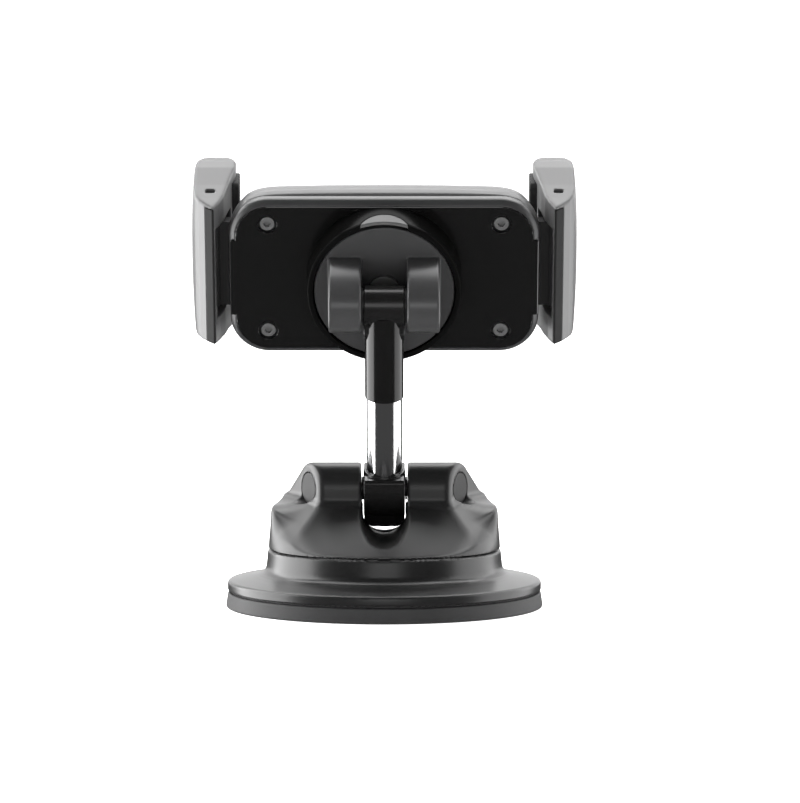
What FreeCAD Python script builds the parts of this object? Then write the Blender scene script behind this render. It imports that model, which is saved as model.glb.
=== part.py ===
import FreeCAD, Part
import math
import os
import Sketcher

# Car phone mount: suction base with a lock lever, hinged telescopic arm, tilting swivel
# disc and a cradle whose two side arms are driven together by one pinion.
# World frame: +Z up, origin on the base axis at the bottom of the suction cup, the phone
# side faces +Y and the hinge side faces -Y.  Millimetres.
# Arm frame: origin on the lower hinge axis, +Z along the tube.
# Head frame: origin on the upper hinge axis, +Z out of the back of the cradle, +Y up it.

os.makedirs("parts", exist_ok=True)
V = FreeCAD.Vector
doc = FreeCAD.newDocument("car_phone_mount")
sheet = doc.addObject("Spreadsheet::Sheet", "dims")

DIMENSIONS = [
    ("cup_radius", 40.1), ("cup_top", 3.9), ("cup_seat", 4.3), ("cup_lip_inner", 34.0), ("boss_radius", 11.0),
    ("boss_bottom", 2.4), ("pull_plate_bottom", 5.0), ("pull_plate_top", 5.8), ("stem_radius", 3.0),
    ("flange_radius", 39.7), ("flange_edge_top", 6.9), ("flange_floor", 6.0), ("flange_floor_top", 7.2),
    ("collar_radius", 29.9), ("collar_top_radius", 29.4), ("collar_top", 14.5), ("turret_seat", 14.9),
    ("collar_inner", 26.5), ("turret_top_radius", 29.0), ("turret_top", 25.6), ("turret_cavity_top", 16.6),
    ("slot_half", 5.8), ("slot_floor", 19.0), ("hinge_height", 30.0), ("ear_radius", 6.6), ("ear_side", 19.3),
    ("ear_slant", 0.4452), ("cap_radius", 4.95), ("cap_bore", 5.0), ("cap_inner", 13.6), ("lower_pin_radius", 2.0),
    ("lower_bore", 2.05), ("pivot_height", 12.4), ("lever_pin_radius", 1.5), ("lever_bore", 1.55),
    ("cam_high", 4.57), ("cam_rate", 2.2918), ("lever_half", 5.2), ("lever_end", 38.4),
    ("knuckle_half", 5.2), ("knuckle_radius", 7.0), ("knuckle_top", 4.6), ("arm_lean", 19.3), ("arm_length", 50.1),
    ("tube_radius", 4.5), ("tube_inner", 4.0), ("tube_top", 37.5), ("sleeve_radius", 4.85), ("sleeve_inner", 4.55),
    ("sleeve_bottom", 25.4), ("sleeve_top", 48.0), ("upper_half", 5.1), ("upper_radius", 5.1),
    ("upper_pin_radius", 2.0), ("upper_bore", 2.05), ("head_lean", 22.5), ("disc_face", -7.9), ("disc_radius", 17.6),
    ("disc_back", -10.3), ("ear_in", 5.7), ("ear_out", 13.9), ("ear_root", 9.5), ("bolt_recess", 4.3),
    ("hub_radius", 7.0), ("hub_bore", 7.05), ("hub_end", -12.2), ("drum_radius", 19.4), ("drum_root_radius", 19.6),
    ("drum_rim", -7.3), ("drum_recess", 17.9), ("plate_face", -15.9), ("body_half_wide", 39.0), ("body_half_high", 21.2),
    ("bevel", 1.45), ("shell_split", -19.4), ("shell_bulge", -23.9), ("shell_half_high", 22.1), ("shell_half_wide", 39.3),
    ("shell_front", -31.2), ("pad_front", -32.4), ("slot_high", 11.95), ("slot_back", -24.25), ("slot_front", -27.55),
    ("tongue_high", 11.6), ("tongue_back", -24.4), ("tongue_front", -27.4), ("screw_across", 29.4), ("screw_up", 14.8),
    ("screw_head", 1.8), ("screw_bore", 2.3), ("gear_module", 0.75), ("gear_teeth", 12), ("gear_backlash", 0.16),
    ("pinion_bore", 2.05), ("post_radius", 2.0), ("button_radius", 6.3), ("button_centre", -5.1),
    ("arm_rear", -16.9), ("arm_front", -43.4), ("arm_outer", 49.3), ("arm_grip", 36.8),
]
VALUES = dict(DIMENSIONS)
for row, (alias, value) in enumerate(DIMENSIONS, start=1):
    sheet.set("A%d" % row, alias.replace("_", " "))
    sheet.set("B%d" % row, repr(value))
    sheet.setAlias("B%d" % row, alias)
doc.recompute()


class Size:
    """A size: its value in mm and the expression on the sheet that gives it."""

    def __init__(self, text, value):
        self.text, self.value = text, value

    def __add__(self, other):
        other = size(other)
        return Size("(%s + %s)" % (self.text, other.text), self.value + other.value)

    def __sub__(self, other):
        other = size(other)
        return Size("(%s - %s)" % (self.text, other.text), self.value - other.value)

    def __mul__(self, factor):
        return Size("(%s * %r)" % (self.text, factor), self.value * factor)

    def __neg__(self):
        return self * -1.0


def size(x):
    return x if isinstance(x, Size) else Size(repr(float(x)), float(x))


def D(alias):
    return Size("dims." + alias, VALUES[alias])


def val(x):
    return size(x).value


# ---------------------------------------------------------------- frames
ARM_FRAME = "create(<<placement>>; create(<<vector>>; 0; 0; dims.hinge_height); create(<<rotation>>; create(<<vector>>; 1; 0; 0); dims.arm_lean))"
HEAD_FRAME = (
    "create(<<placement>>; create(<<vector>>; 0; -sin(dims.arm_lean * 1deg) * dims.arm_length;"
    " dims.hinge_height + cos(dims.arm_lean * 1deg) * dims.arm_length);"
    " create(<<rotation>>; create(<<vector>>; 1; 0; 0); 90 + dims.head_lean))"
)
NODES = []


def body(name, frame=None):
    b = doc.addObject("PartDesign::Body", name)
    b.Label = name
    if frame:
        b.setExpression("Placement", frame)
    NODES.append(b)
    return b


def sketch(b, role, offset=0.0):
    s = b.newObject("Sketcher::SketchObject", b.Label + "_sketch")
    plane = [f for f in b.Origin.OriginFeatures if f.Role == role][0]
    s.AttachmentSupport = (plane, [""])
    s.MapMode = "FlatFace"
    if isinstance(offset, Size) or offset:
        s.AttachmentOffset = FreeCAD.Placement(V(0, 0, val(offset)), FreeCAD.Rotation())
        if isinstance(offset, Size):
            s.setExpression("AttachmentOffset.Base.z", offset.text)
    return s


def pin_point(s, geo, pos, x, y):
    for kind, c in (("DistanceX", x), ("DistanceY", y)):
        i = s.addConstraint(Sketcher.Constraint(kind, -1, 1, geo, pos, val(c)))
        if isinstance(c, Size):
            s.setExpression("Constraints[%d]" % i, c.text)


def loop(s, points):
    """A closed outline. Each point is (x, y) or (x, y, r): r rounds the run to the next point as an arc, bulging to the left of the run when r is positive."""
    first = s.GeometryCount
    n = len(points)
    for k, p in enumerate(points):
        q = points[(k + 1) % n]
        a, c = V(val(p[0]), val(p[1]), 0), V(val(q[0]), val(q[1]), 0)
        if len(p) == 3:
            r = abs(p[2])
            run = c - a
            half = run.Length / 2
            left = V(-run.y, run.x, 0) * (1 / run.Length) * (1 if p[2] > 0 else -1)
            rise = r - math.sqrt(max(r * r - half * half, 0.0))
            s.addGeometry(Part.Arc(a, (a + c) * 0.5 + left * rise, c))
        else:
            s.addGeometry(Part.LineSegment(a, c))
    for k, p in enumerate(points):
        q = points[(k + 1) % n]
        g, gn = first + k, first + (k + 1) % n
        # an arc is stored anticlockwise, so its start may be the later point
        ends = {}
        for geo in (g, gn):
            for pos in (1, 2):
                ends[geo, pos] = s.getPoint(geo, pos)
        target = V(val(q[0]), val(q[1]), 0)
        pg = min((1, 2), key=lambda i: ends[g, i].distanceToPoint(target))
        pn = min((1, 2), key=lambda i: ends[gn, i].distanceToPoint(target))
        s.addConstraint(Sketcher.Constraint("Coincident", g, pg, gn, pn))
        pin_point(s, gn, pn, q[0], q[1])
    for k, p in enumerate(points):
        if len(p) == 3:
            s.addConstraint(Sketcher.Constraint("Radius", first + k, abs(p[2])))


def ring(s, x, y, r):
    g = s.addGeometry(Part.Circle(V(val(x), val(y), 0), V(0, 0, 1), val(r)))
    pin_point(s, g, 3, x, y)
    i = s.addConstraint(Sketcher.Constraint("Radius", g, val(r)))
    if isinstance(r, Size):
        s.setExpression("Constraints[%d]" % i, r.text)


def done(b, f, grows):
    doc.recompute()
    if "Invalid" in f.State or "Error" in f.State or f.Shape.isNull():
        raise RuntimeError("%s: %s failed %s" % (b.Label, f.Name, f.State))
    now = f.Shape.Volume
    before = getattr(done, "volume", {}).get(b.Label, 0.0)
    if (now - before) * (1 if grows else -1) < 1e-6:
        raise RuntimeError("%s: %s changed nothing (%.3f to %.3f)" % (b.Label, f.Name, before, now))
    done.volume = dict(getattr(done, "volume", {}), **{b.Label: now})
    b.Tip = f
    return f


def turn(b, loops, cut=False):
    """Turned shape: outlines of (radius, height) about the body's Z axis."""
    s = sketch(b, "XZ_Plane")
    for points in loops:
        loop(s, points)
    f = b.newObject("PartDesign::Groove" if cut else "PartDesign::Revolution", b.Label + "_turn")
    f.Profile = s
    f.ReferenceAxis = (s, ["V_Axis"])
    f.Angle = 360
    return done(b, f, not cut)


# plane -> role, and the sign of the sketch normal along the body axis
PLANES = {"XY": ("XY_Plane", 1), "YZ": ("YZ_Plane", 1), "XZ": ("XZ_Plane", -1)}


def pad(b, plane, shapes, low, high, cut=False):
    """Straight block between two heights along the plane's axis (Z, X or Y). shapes: outlines, or circles as ("o", x, y, r)."""
    role, sign = PLANES[plane]
    low, high = (low, high) if sign > 0 else (-size(high), -size(low))
    s = sketch(b, role, high if cut else low)
    for shape in shapes:
        if shape[0] == "o":
            ring(s, *shape[1:])
        else:
            loop(s, shape)
    f = b.newObject("PartDesign::Pocket" if cut else "PartDesign::Pad", b.Label + ("_pocket" if cut else "_pad"))
    f.Profile = s
    span = size(high) - size(low)
    f.Length = span.value
    if isinstance(high, Size) or isinstance(low, Size):
        f.setExpression("Length", span.text)
    return done(b, f, not cut)


def cut(b, plane, shapes, low, high):
    return pad(b, plane, shapes, low, high, cut=True)


def soften(b, radius, pick, chamfer=False):
    """Round (or chamfer) the edges that pick(edge) accepts."""
    base = b.Tip
    names = ["Edge%d" % (i + 1) for i, e in enumerate(base.Shape.Edges) if pick(e)]
    if not names:
        raise RuntimeError(b.Label + ": no edge to round")
    f = b.newObject("PartDesign::Chamfer" if chamfer else "PartDesign::Fillet", b.Label + "_round")
    f.Base = (base, names)
    if chamfer:
        f.Size = radius
    else:
        f.Radius = radius
    doc.recompute()
    if "Invalid" in f.State or f.Shape.isNull() or not f.Shape.isValid():
        raise RuntimeError(b.Label + ": rounding failed")
    b.Tip = f
    done.volume[b.Label] = f.Shape.Volume
    return f


def box(x0, x1, y0, y1):
    return [(x0, y0), (x1, y0), (x1, y1), (x0, y1)]


def rounded(hx, hy, r):
    """Rounded rectangle outline about the origin."""
    q = math.sqrt(0.5)
    hx, hy = size(hx), size(hy)
    return [
        (hx - r, -hy, -r), (hx, -hy + r),
        (hx, hy - r, -r), (hx - r, hy),
        (-hx + r, hy, -r), (-hx, hy - r),
        (-hx, -hy + r, -r), (-hx + r, -hy),
    ]


# ================================================================ base
b = body("suction_cup")
turn(b, [[
    (D("boss_radius") + 0.1, 2.3), (20.0, 1.5), (D("cup_lip_inner") - 0.4, 0.3), (D("cup_lip_inner"), 0.0),
    (D("cup_radius") - 0.6, 0.0, -0.6), (D("cup_radius"), 0.6), (D("cup_radius") - 0.4, D("cup_top") - 0.5, -0.5),
    (D("cup_radius") - 0.9, D("cup_top")), (D("cup_radius") - 1.3, D("cup_top")), (D("cup_radius") - 1.3, D("cup_seat")),
    (34.5, D("cup_seat")), (32.5, 2.9), (20.0, 3.0), (14.0, 4.0), (D("boss_radius") + 0.1, 4.0),
]])

b = body("cup_boss")
turn(b, [[(0.0, D("boss_bottom")), (D("boss_radius") - 0.4, D("boss_bottom")), (D("boss_radius"), D("boss_bottom") + 0.4),
          (D("boss_radius"), D("pull_plate_bottom")), (0.0, D("pull_plate_bottom"))]])

b = body("base_flange")
turn(b, [[
    (D("stem_radius") + 0.05, D("flange_floor")), (12.5, D("flange_floor")), (31.5, D("flange_floor") - 0.9), (33.5, D("cup_seat")),
    (D("flange_radius") - 0.9, D("cup_seat")), (D("flange_radius") - 0.3, D("cup_seat"), -0.3), (D("flange_radius"), D("cup_seat") + 0.3),
    (D("flange_radius"), D("flange_edge_top") - 0.8, -0.8), (D("flange_radius") - 0.8, D("flange_edge_top")),
    (32.0, 8.35, 2.2), (D("collar_radius"), 10.3), (D("collar_top_radius"), D("collar_top")),
    (D("collar_top_radius") - 0.5, D("collar_top")), (D("collar_top_radius") - 0.5, D("turret_seat")),
    (D("collar_inner"), D("turret_seat")), (D("collar_inner"), D("flange_floor_top")), (D("stem_radius") + 0.05, D("flange_floor_top")),
]])
cut(b, "XZ", [box(-5.5, 5.5, 8.9, 20.0)], 20.0, 45.0)          # window for the lever
cut(b, "XZ", [box(-10.9, 10.9, 8.75, 20.0)], 28.9, 45.0)       # seat of the lever's grip
cut(b, "XY", [("o", x, y, 1.3) for x in (-18, 18) for y in (-15, 15)], 0.0, 12.0)

b = body("turret_housing")
turn(b, [[
    (0.0, D("turret_seat")), (D("collar_top_radius"), D("turret_seat")), (D("turret_top_radius"), D("turret_top") - 2.0, -2.0),
    (D("turret_top_radius") - 2.0, D("turret_top")), (0.0, D("turret_top")),
]])
# hinge ears: a barrel about the hinge axis on a ramped block
e, H = D("ear_radius"), D("hinge_height")
pad(b, "YZ", [[(-e, 22.0), (16.5, 22.0), (16.5, D("turret_top") - 0.3), (4.6, H + 4.73, -6.6), (-e, H)]], -27.0, 27.0)
# plan of the ears: their outer faces open towards the front
y0, y1 = -8.0, 18.0
for sgn in (-1, 1):
    side = lambda y: (D("ear_side") + D("ear_slant") * y) * sgn
    edge = [(side(y0), y0), (30.0 * sgn, y0), (30.0 * sgn, y1), (side(y1), y1)]
    cut(b, "XY", [edge], D("turret_top"), 40.0)
# rear apron, hollowed between two walls that open downwards
apron = [(-6.6, 26.5), (-10.5, 21.6), (-16.0, 17.4, 40.0), (-29.8, 15.25), (-34.0, 15.25), (-34.0, 40.0), (-6.6, 40.0)]
cut(b, "YZ", [apron], -15.2, 15.2)
cut(b, "YZ", [[(-6.6, 26.5), (-20.0, 19.0), (-34.0, 19.0), (-34.0, 40.0), (-6.6, 40.0)]], -30.0, 30.0)
cut(b, "XZ", [[(15.0, 26.5), (16.4, 26.5), (21.6, 17.2), (15.0, 17.2)]], -30.0, -12.0)
cut(b, "XZ", [[(-15.0, 26.5), (-16.4, 26.5), (-21.6, 17.2), (-15.0, 17.2)]], -30.0, -12.0)
# slot for the arm, open at both ends
w = D("slot_half")
cut(b, "XZ", [[(-w, 45.0), (-w, D("slot_floor") + 5.8, -5.8), (0.0, D("slot_floor"), -5.8), (w, D("slot_floor") + 5.8), (w, 45.0)]], -35.0, 35.0)
# its floor falls away towards the rear
cut(b, "YZ", [[(-8.0, 19.0), (-30.0, 16.8), (-30.0, 19.4), (-8.0, 19.4)]], -2.6, 2.6)
cut(b, "XZ", [box(-w, w, 10.0, 45.0)], 1.5, 35.0)
# cavity over the stem and the lever
cut(b, "XY", [box(-6.2, 6.2, -6.0, 6.0)], 10.0, D("turret_cavity_top"))
# hinge bore and cap counterbores
cut(b, "YZ", [("o", 0.0, H, D("lower_pin_radius"))], -20.0, 20.0)
cut(b, "YZ", [("o", 0.0, H, D("cap_bore"))], D("cap_inner"), 30.0)
cut(b, "YZ", [("o", 0.0, H, D("cap_bore"))], -30.0, -D("cap_inner"))
pad(b, "XY", [("o", x, y, 2.95) for x in (-18, 18) for y in (-15, 15)], D("flange_floor_top"), 17.5)
cut(b, "XY", [("o", x, y, 1.25) for x in (-18, 18) for y in (-15, 15)], 0.0, 15.0)

b = body("base_screws")
for x in (-18, 18):
    for y in (-15, 15):
        pad(b, "XY", [("o", x, y, 1.24)], 4.9, 14.5)
        pad(b, "XY", [("o", x, y, 2.3)], 3.55, 5.3)
        cut(b, "XY", [[(x - 1.1, y - 0.3), (x + 1.1, y - 0.3), (x + 1.1, y + 0.3), (x - 1.1, y + 0.3)]], 3.5, 4.2)

b = body("lower_hinge_pin")
pad(b, "YZ", [("o", 0.0, H, D("lower_pin_radius") - 0.005)], -13.4, 13.4)

for label, sgn in (("left", -1), ("right", 1)):
    b = body("hinge_cap_" + label)
    lo, hi = (D("cap_inner"), 25.0) if sgn > 0 else (-25.0, -D("cap_inner"))
    pad(b, "YZ", [("o", 0.0, H, D("cap_radius"))], lo, hi)
    side = lambda y: (D("ear_side") + D("ear_slant") * y - 0.12) * sgn
    cut(b, "XY", [[(side(-9.0), -9.0), (30.0 * sgn, -9.0), (30.0 * sgn, 9.0), (side(9.0), 9.0)]], 20.0, 40.0)

b = body("lower_washers")
for lo, hi in ((5.25, 5.75), (-5.75, -5.25)):
    pad(b, "YZ", [("o", 0.0, H, 2.95), ("o", 0.0, H, 2.03)], lo, hi)

b = body("cam_plate")
pad(b, "XY", [("o", 0.0, 0.0, 9.0), ("o", 0.0, 0.0, D("stem_radius") + 0.15)], D("flange_floor_top"), D("flange_floor_top") + 0.6)

# ---------------------------------------------------------------- stem and lever
P = D("pivot_height")
b = body("pull_stem")
turn(b, [[(0.0, D("pull_plate_bottom")), (D("boss_radius") - 0.2, D("pull_plate_bottom")), (D("boss_radius") - 0.2, D("pull_plate_top")),
          (D("stem_radius"), D("pull_plate_top")), (D("stem_radius"), P - 0.5), (0.0, P - 0.5)]])
cut(b, "XY", [box(2.0, 4.0, -4.0, 4.0)], 7.3, 14.0)
cut(b, "XY", [box(-4.0, -2.0, -4.0, 4.0)], 7.3, 14.0)
pad(b, "YZ", [("o", 0.0, P, 3.0)], -2.0, 2.0)
cut(b, "YZ", [("o", 0.0, P, D("lever_pin_radius"))], -4.0, 4.0)

b = body("lever_pin")
pad(b, "YZ", [("o", 0.0, P, D("lever_pin_radius") - 0.005)], -5.1, 5.1)

b = body("lock_lever")
cam = []
for deg in range(50, -1, -5):
    a = math.radians(deg)
    lift = VALUES["cam_high"] - VALUES["cam_rate"] * a
    y = -lift * math.sin(a) + VALUES["cam_rate"] * math.cos(a)
    z = -lift * math.cos(a) - VALUES["cam_rate"] * math.sin(a)
    cam.append((y, P + z))
eye = 2.57
outline = [(-eye, P), (eye * math.cos(math.radians(-140)), P + eye * math.sin(math.radians(-140)))] + cam
outline += [(9.2, P - 4.5), (11.5, P - 2.9), (28.5, P - 2.9), (31.5, P - 3.3), (D("lever_end"), P - 4.3),
            (D("lever_end"), P - 2.7), (35.0, P - 0.4), (28.0, P + 1.2), (9.0, P + 2.3), (0.0, P + eye), (-eye * 0.72, P + eye * 0.7)]
pad(b, "YZ", [outline], -D("lever_half"), D("lever_half"))
pad(b, "YZ", [[(33.0, P - 3.47), (D("lever_end"), P - 4.3), (D("lever_end"), P - 2.7), (35.0, P - 0.4), (33.0, P + 0.0)]], -9.6, 9.6)
cut(b, "XY", [box(-2.1, 2.1, -6.0, 3.6)], 5.0, 20.0)
cut(b, "YZ", [("o", 0.0, P, D("lever_bore"))], -8.0, 8.0)
soften(b, 1.6, lambda e: e.BoundBox.YMin > 38.3 and e.BoundBox.ZLength > 1.2 and abs(abs(e.BoundBox.XMin) - 9.6) < 0.05)

# ================================================================ arm
b = body("lower_knuckle", ARM_FRAME)
kr, kt = D("knuckle_radius"), D("knuckle_top")
k = D("knuckle_half")
pad(b, "YZ", [[(-6.2, kt - 0.6), (-6.85, 1.5), (-4.6, -5.3, -7.0), (4.6, -5.3), (6.85, 1.5), (6.2, kt - 0.6), (5.6, kt), (-5.6, kt)]], -k, k)
# heel below the hinge, narrow enough for the round floor of the slot
pad(b, "YZ", [("o", -0.9, -2.57, 5.95)], -4.4, 4.4)
pad(b, "YZ", [("o", -1.28, -3.65, 6.0)], -3.0, 3.0)
turn(b, [[(0.0, 3.0), (5.15, 3.0), (5.15, kt + 0.6), (D("tube_radius") + 0.03, kt + 0.6), (D("tube_radius") + 0.03, kt), (D("tube_inner") - 0.01, kt), (D("tube_inner") - 0.01, 13.5), (3.4, 14.2), (0.0, 14.2)]])
cut(b, "YZ", [("o", 0.0, 0.0, D("lower_bore"))], -8.0, 8.0)
soften(b, 0.35, lambda e: abs(abs(e.BoundBox.XMin) - 5.2) < 0.01 and abs(abs(e.BoundBox.XMax) - 5.2) < 0.01 and e.BoundBox.XLength < 0.01 and (e.BoundBox.YLength > 4.3 or e.BoundBox.ZLength > 4.3))

b = body("chrome_tube", ARM_FRAME)
turn(b, [[(D("tube_inner"), kt), (D("tube_radius"), kt), (D("tube_radius"), D("tube_top") - 0.3), (D("tube_radius") - 0.3, D("tube_top")), (D("tube_inner"), D("tube_top"))]])

b = body("tube_guide", ARM_FRAME)
turn(b, [[(0.0, 31.0), (D("tube_inner") - 0.01, 31.0), (D("tube_inner") - 0.01, D("tube_top")), (D("tube_radius"), D("tube_top")), (D("tube_radius"), D("tube_top") + 0.9), (0.0, D("tube_top") + 0.9)]])

b = body("arm_sleeve", ARM_FRAME)
turn(b, [[(D("sleeve_inner"), D("sleeve_bottom")), (D("sleeve_radius"), D("sleeve_bottom")), (D("sleeve_radius"), D("sleeve_top")), (D("sleeve_inner"), D("sleeve_top"))]])

b = body("upper_knuckle", ARM_FRAME)
L = D("arm_length")
pad(b, "YZ", [("o", 0.0, L, D("upper_radius"))], -D("upper_half"), D("upper_half"))
pad(b, "YZ", [[(-2.9, L), (-2.9, 43.5), (-1.9, 41.5), (1.9, 41.5), (2.9, 43.5), (2.9, L)]], -D("upper_half"), D("upper_half"))
cut(b, "XY", [("o", 0.0, 0.0, D("sleeve_radius") + 0.01)], 35.0, D("sleeve_top"))
pad(b, "XY", [("o", 0.0, 0.0, D("sleeve_inner") - 0.01)], 46.3, L - 1.0)
cut(b, "YZ", [("o", 0.0, L, D("upper_bore"))], -8.0, 8.0)

# ================================================================ swivel
b = body("swivel_disc", HEAD_FRAME)
df = D("disc_face")
turn(b, [[(0.0, D("disc_back")), (D("disc_radius"), D("disc_back")), (D("disc_radius"), df - 0.3), (D("disc_radius") - 0.3, df), (0.0, df)]])
rt = D("ear_root")
for lo, hi in ((D("ear_in"), D("ear_out")), (-D("ear_out"), -D("ear_in"))):
    pad(b, "YZ", [[(-rt, df - 0.5), (rt, df - 0.5), (rt, df + 1.6), (6.35, 1.8, -6.6), (-6.35, 1.8), (-rt, df + 1.6)]], lo, hi)
turn(b, [[(0.0, D("hub_end")), (D("hub_radius"), D("hub_end")), (D("hub_radius"), D("disc_back") + 0.2), (0.0, D("disc_back") + 0.2)]])
cut(b, "XY", [("o", 0.0, 0.0, D("bolt_recess"))], df - 1.5, df + 0.2)
cut(b, "XY", [("o", 0.0, 0.0, 2.5)], D("hub_end") - 1.0, df)
cut(b, "YZ", [("o", 0.0, 0.0, D("upper_pin_radius"))], -12.9, 12.9)
soften(b, 0.45, lambda e: e.BoundBox.XLength < 0.01 and e.BoundBox.ZMin > -7.0 and (abs(abs(e.BoundBox.XMin) - 13.9) < 0.01 or abs(abs(e.BoundBox.XMin) - 5.7) < 0.01) and e.BoundBox.YLength > 2.5 and not (e.BoundBox.YLength < 4.1 and e.BoundBox.ZLength < 4.1 and e.BoundBox.ZMax < 2.1 and abs(e.BoundBox.YMin + e.BoundBox.YMax) < 0.1))

b = body("upper_hinge_pin", HEAD_FRAME)
pad(b, "YZ", [("o", 0.0, 0.0, D("upper_pin_radius") - 0.005)], -12.8, 12.8)
b = body("upper_washers", HEAD_FRAME)
for lo, hi in ((5.15, 5.65), (-5.65, -5.15)):
    pad(b, "YZ", [("o", 0.0, 0.0, 4.4), ("o", 0.0, 0.0, 2.03)], lo, hi)
b = body("swivel_bolt", HEAD_FRAME)
turn(b, [[(0.0, -18.6), (2.2, -18.6), (2.49, -18.3), (2.49, df - 1.5), (4.0, df - 1.5), (4.0, df - 0.35), (3.7, df - 0.05), (0.0, df - 0.05)]])
cut(b, "XY", [[(1.9, 0.0), (0.95, 1.645), (-0.95, 1.645), (-1.9, 0.0), (-0.95, -1.645), (0.95, -1.645)]], df - 1.1, df + 0.2)
b = body("friction_washer", HEAD_FRAME)
pad(b, "XY", [("o", 0.0, 0.0, 10.5), ("o", 0.0, 0.0, 2.55)], -12.9, -12.25)
b = body("spring_washer", HEAD_FRAME)
turn(b, [[(2.6, -14.6), (3.2, -14.6), (8.6, -13.5), (8.6, -12.95), (8.1, -12.95), (2.6, -14.0)]])
b = body("swivel_nut", HEAD_FRAME)
pad(b, "XY", [[(4.6, 0.0), (2.3, 3.984), (-2.3, 3.984), (-4.6, 0.0), (-2.3, -3.984), (2.3, -3.984)], ("o", 0.0, 0.0, 2.5)], -17.6, -14.65)

# ================================================================ cradle
b = body("swivel_housing", HEAD_FRAME)
rim, pf = D("drum_rim"), D("plate_face")
turn(b, [[
    (D("hub_bore"), -12.2), (15.8, -12.2), (15.8, pf), (D("drum_root_radius"), pf), (D("drum_radius"), rim - 0.5, -0.5),
    (D("drum_radius") - 0.5, rim), (D("drum_recess"), rim), (D("drum_recess"), D("disc_back") - 0.05), (D("hub_bore"), D("disc_back") - 0.05),
]])
# half-round window of the release button, and the slot of its stem
R, zc = D("button_radius") + 0.12, D("button_centre")
cut(b, "XZ", [("o", 0.0, zc, R)], 17.0, 22.0)
cut(b, "XZ", [box(-2.6, 2.6, -14.6, -10.5)], 11.9, 18.9)

b = body("release_button", HEAD_FRAME)
turn(b, [[(18.75, -11.6), (19.62, -11.6), (19.52, rim - 0.25), (19.3, rim), (18.75, rim)]])
cut(b, "XY", [[(-25.0, -25.0), (25.0, -25.0), (25.0, 16.0), (-25.0, 16.0)]], -30.0, 0.0)
s = sketch(b, "XZ_Plane", -25.0)
ring(s, 0.0, zc, 40.0)
ring(s, 0.0, zc, D("button_radius"))
f = b.newObject("PartDesign::Pocket", "button_outline")
f.Profile = s
f.Length = 50.0
f.Reversed = True
done(b, f, False)
pad(b, "XZ", [box(-2.45, 2.45, -14.4, -10.65)], 13.2, 18.78)
cut(b, "XZ", [box(-3.0, 3.0, -14.6, -11.3)], 18.2, 20.0)

hw, hh, bv = D("body_half_wide"), D("body_half_high"), D("bevel")
b = body("rear_cover", HEAD_FRAME)
pad(b, "XY", [rounded(hw, hh, 10.0)], D("shell_split"), pf)
soften(b, 1.42, lambda e: e.BoundBox.ZMin > -15.95, chamfer=True)
cut(b, "XY", [rounded(hw - 1.55, hh - 1.55, 8.4)], pf - 0.8, pf + 0.1)
cut(b, "XY", [rounded(hw - 3.2, hh - 3.2, 6.8)], D("shell_split") - 0.1, pf - 2.2)
screws = [(sx * VALUES["screw_across"], sy * VALUES["screw_up"]) for sx in (-1, 1) for sy in (-1, 1)]
for x, y in screws:
    pad(b, "XY", [("o", x, y, 3.4)], D("shell_split"), pf - 1.2)
cut(b, "XY", [("o", x, y, D("screw_bore")) for x, y in screws], pf - 2.0, pf + 0.1)
cut(b, "XY", [("o", x, y, 1.2) for x, y in screws], D("shell_split") - 0.1, pf - 1.9)
cut(b, "XY", [("o", 0.0, 0.0, 15.8)], D("shell_split") - 0.1, pf + 0.1)
for sgn in (-1, 1):
    cut(b, "XY", [box(37.0 * sgn, 41.0 * sgn, -10.4, 10.4)], -16.7, -15.0)

b = body("rear_panel", HEAD_FRAME)
pad(b, "XY", [rounded(hw - 1.62, hh - 1.62, 8.33)], pf - 0.8, pf - 0.02)
pad(b, "XY", [box(-38.75, 38.75, -10.3, 10.3)], pf - 0.79, pf - 0.03)
cut(b, "XY", [("o", 0.0, 0.0, 15.8)], pf - 1.0, pf + 0.2)
cut(b, "XY", [("o", x, y, D("screw_bore")) for x, y in screws], pf - 1.0, pf + 0.2)

b = body("cover_screws", HEAD_FRAME)
for x, y in screws:
    pad(b, "XY", [("o", x, y, 1.1)], -24.0, pf - 1.95)
    pad(b, "XY", [("o", x, y, D("screw_head"))], pf - 2.0, pf - 0.5)
    cut(b, "XY", [[(x + 0.95, y), (x + 0.475, y + 0.823), (x - 0.475, y + 0.823), (x - 0.95, y), (x - 0.475, y - 0.823), (x + 0.475, y - 0.823)]], pf - 1.3, pf)

b = body("front_shell", HEAD_FRAME)
split, front = D("shell_split"), D("shell_front")
pad(b, "XY", [rounded(D("shell_half_wide"), D("shell_half_high"), 12.5)], front, split)
# the back edge slopes in to meet the cover
soften(b, 2.1, lambda e: e.BoundBox.ZMin > -19.45, chamfer=True)
soften(b, 5.5, lambda e: e.BoundBox.ZMax < -31.15)
cut(b, "XY", [rounded(36.2, 18.0, 11.0)], front + 5.0, split + 0.1)
cut(b, "XY", [rounded(32.5, 14.5, 9.0)], front + 2.0, front + 5.1)
for x, y in screws:
    pad(b, "XY", [("o", x, y, 2.9)], front + 1.9, split)
cut(b, "XY", [("o", x, y, 1.12) for x, y in screws], -25.0, split + 0.1)
cut(b, "YZ", [box(-D("slot_high"), D("slot_high"), D("slot_front"), D("slot_back"))], -45.0, -27.5)
cut(b, "YZ", [box(-D("slot_high"), D("slot_high"), D("slot_front"), D("slot_back"))], 27.5, 45.0)
pad(b, "XY", [("o", 0.0, 0.0, D("post_radius"))], front + 1.9, -23.9)
cut(b, "XY", [rounded(32.1, 16.1, 9.0)], front - 0.1, front + 0.7)

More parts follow.
